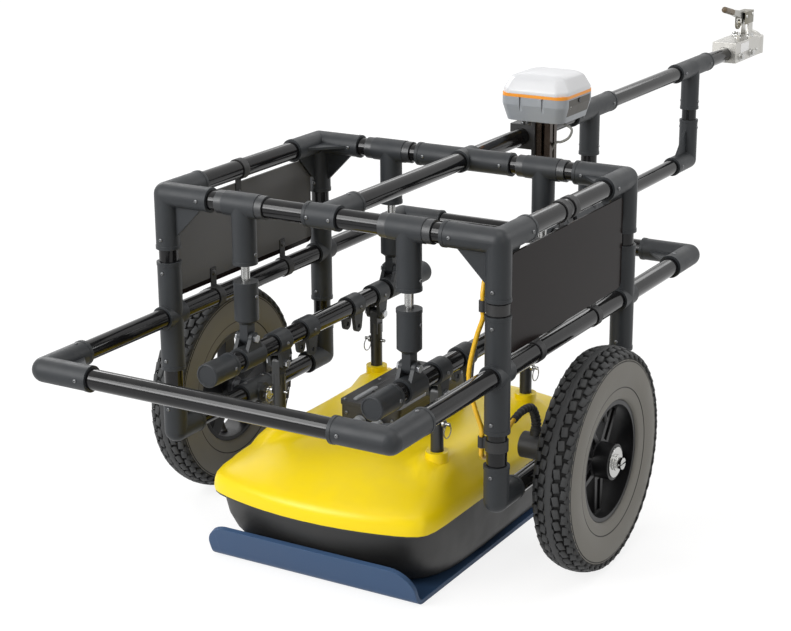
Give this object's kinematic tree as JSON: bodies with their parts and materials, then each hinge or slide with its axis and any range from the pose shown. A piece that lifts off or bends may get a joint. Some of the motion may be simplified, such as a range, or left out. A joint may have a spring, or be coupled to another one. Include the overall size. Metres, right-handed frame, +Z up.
{
  "type": "ground penetrating radar cart",
  "caption": "Towed two-wheel pipe-frame cart that carries a ground penetrating radar antenna on a swinging carrier, with a satellite receiver and a ball coupler.",
  "frame": {"origin": "on the ground under the middle of the axle line, on the bottom face of the skid", "axes": "+X to the right of the cart, +Y ahead towards the coupler, +Z up"},
  "size_m": [0.863, 2.3485, 0.748],
  "materials": {
    "pipe": "black pipe with a gloss",
    "fitting": "moulded charcoal fittings, semi-matt",
    "ring": "moulded rings, semi-matt",
    "board": "dark board with a gloss",
    "strap": "black straps",
    "rod": "bright rods",
    "bolt": "zinc-plated bolts",
    "post": "grey posts",
    "pin": "bright pull pins",
    "cover": "yellow moulded cover",
    "tub": "black moulded tub",
    "skid": "slate-blue skid plate",
    "box": "black box",
    "element": "antenna plates",
    "card": "circuit boards",
    "tyre": "worn rubber",
    "rim": "black rims",
    "bearing": "bearing steel",
    "axle": "turned steel",
    "fastener": "bright fasteners",
    "housing": "black housing",
    "boot": "black boot and plug",
    "cable": "amber cable",
    "dome": "white dome",
    "band": "orange band",
    "grey": "grey body",
    "button": "dark button",
    "slot_post": "dark anodised extrusion",
    "bracket": "dark bracket",
    "cord": "grey cable",
    "zinc": "zinc-plated sheet"
  },
  "bodies": {
    "frame": {"top_rails": "pipe", "posts": "pipe", "waist_rails": "pipe", "base_rails": "pipe", "top_corners": "fitting", "waist_crosses": "fitting", "waist_corners": "fitting", "base_elbows": "fitting", "axle_tees": "fitting", "spine_fittings": "fitting", "tow_bar": "pipe", "tow_fittings": "fitting", "tow_frame_pipes": "pipe", "retaining_rings": "ring", "side_boards": "board", "straps": "strap", "stub_axles": "axle", "axle_fasteners": "fastener", "encoder_housing": "housing", "encoder_boot": "boot", "encoder_cable": "cable", "receiver_dome": "dome", "receiver_band": "band", "receiver_body": "grey", "receiver_post": "slot_post", "receiver_bracket": "bracket", "receiver_cable": "cord", "coupler_body": "zinc"},
    "left_wheel": {"left_tyre": "tyre", "left_rim": "rim", "left_bearings": "bearing"},
    "right_wheel": {"right_tyre": "tyre", "right_rim": "rim", "right_bearings": "bearing"},
    "rear_hanger_pair": {"rear_hangers": "fitting"},
    "front_hanger_pair": {"front_hangers": "fitting"},
    "rear_links": {"rear_rods": "rod", "rear_barrels": "fitting"},
    "front_links": {"front_rods": "rod", "front_barrels": "fitting"},
    "carrier": {"carrier_tubes": "pipe", "tube_caps": "fitting", "hanger_collars": "fitting", "lug_collars": "fitting", "pivot_bolts": "bolt", "antenna_posts": "post", "antenna_cover": "cover", "antenna_tub": "tub", "skid": "skid", "control_box": "box", "antenna_elements": "element", "antenna_boards": "card"},
    "front_left_pin": {"pin_front_left": "pin"},
    "front_right_pin": {"pin_front_right": "pin"},
    "rear_left_pin": {"pin_rear_left": "pin"},
    "rear_right_pin": {"pin_rear_right": "pin"},
    "lever": {"coupler_lever": "zinc"},
    "trigger": {"coupler_trigger": "zinc"},
    "button": {"receiver_button": "button"}
  },
  "joints": [
    {"name": "left_wheel_spin", "type": "hinge", "parent": "frame", "child": "left_wheel", "pos_m": [-0.38405, 0, 0.193], "axis": [1, 0, 0], "continuous": true},
    {"name": "right_wheel_spin", "type": "hinge", "parent": "frame", "child": "right_wheel", "pos_m": [0.38405, 0, 0.193], "axis": [1, 0, 0], "continuous": true},
    {"name": "rear_hanger_swing", "type": "hinge", "parent": "frame", "child": "rear_hanger_pair", "pos_m": [0, -0.24, 0.62], "axis": [1, 0, 0], "range_deg": [-20, 20]},
    {"name": "front_hanger_swing", "type": "hinge", "parent": "frame", "child": "front_hanger_pair", "pos_m": [0, 0.24, 0.62], "axis": [1, 0, 0], "range_deg": [-20, 20]},
    {"name": "rear_rod_lift", "type": "slide", "parent": "rear_hanger_pair", "child": "rear_links", "axis": [0, 0, 1], "range_m": [-0.02, 0.025]},
    {"name": "front_rod_lift", "type": "slide", "parent": "front_hanger_pair", "child": "front_links", "axis": [0, 0, 1], "range_m": [-0.02, 0.025]},
    {"name": "carrier_level", "type": "hinge", "parent": "rear_links", "child": "carrier", "pos_m": [0, -0.24, 0.39], "axis": [1, 0, 0], "range_deg": [-20, 20]},
    {"name": "front_left_pin_pull", "type": "slide", "parent": "carrier", "child": "front_left_pin", "axis": [-1, 0, 0], "range_m": [0, 0.045]},
    {"name": "front_right_pin_pull", "type": "slide", "parent": "carrier", "child": "front_right_pin", "axis": [1, 0, 0], "range_m": [0, 0.045]},
    {"name": "rear_left_pin_pull", "type": "slide", "parent": "carrier", "child": "rear_left_pin", "axis": [-1, 0, 0], "range_m": [0, 0.045]},
    {"name": "rear_right_pin_pull", "type": "slide", "parent": "carrier", "child": "rear_right_pin", "axis": [1, 0, 0], "range_m": [0, 0.045]},
    {"name": "coupler_lever_lift", "type": "hinge", "parent": "frame", "child": "lever", "pos_m": [0, 1.691, 0.692], "axis": [-1, 0, 0], "range_deg": [0, 75]},
    {"name": "coupler_trigger_squeeze", "type": "hinge", "parent": "lever", "child": "trigger", "pos_m": [0, 1.645, 0.684], "axis": [-1, 0, 0], "range_deg": [0, 12], "stiffness_Nm_per_rad": 0.4},
    {"name": "receiver_button_press", "type": "slide", "parent": "frame", "child": "button", "axis": [-1, 0, 0], "range_m": [0, 0.001], "stiffness_N_per_m": 2000}
  ],
  "couplings": [
    {"joint": "front_hanger_swing", "follows": "rear_hanger_swing", "ratio": 1},
    {"joint": "carrier_level", "follows": "rear_hanger_swing", "ratio": -1},
    {"joint": "front_rod_lift", "follows": "rear_rod_lift", "ratio": 1}
  ]
}
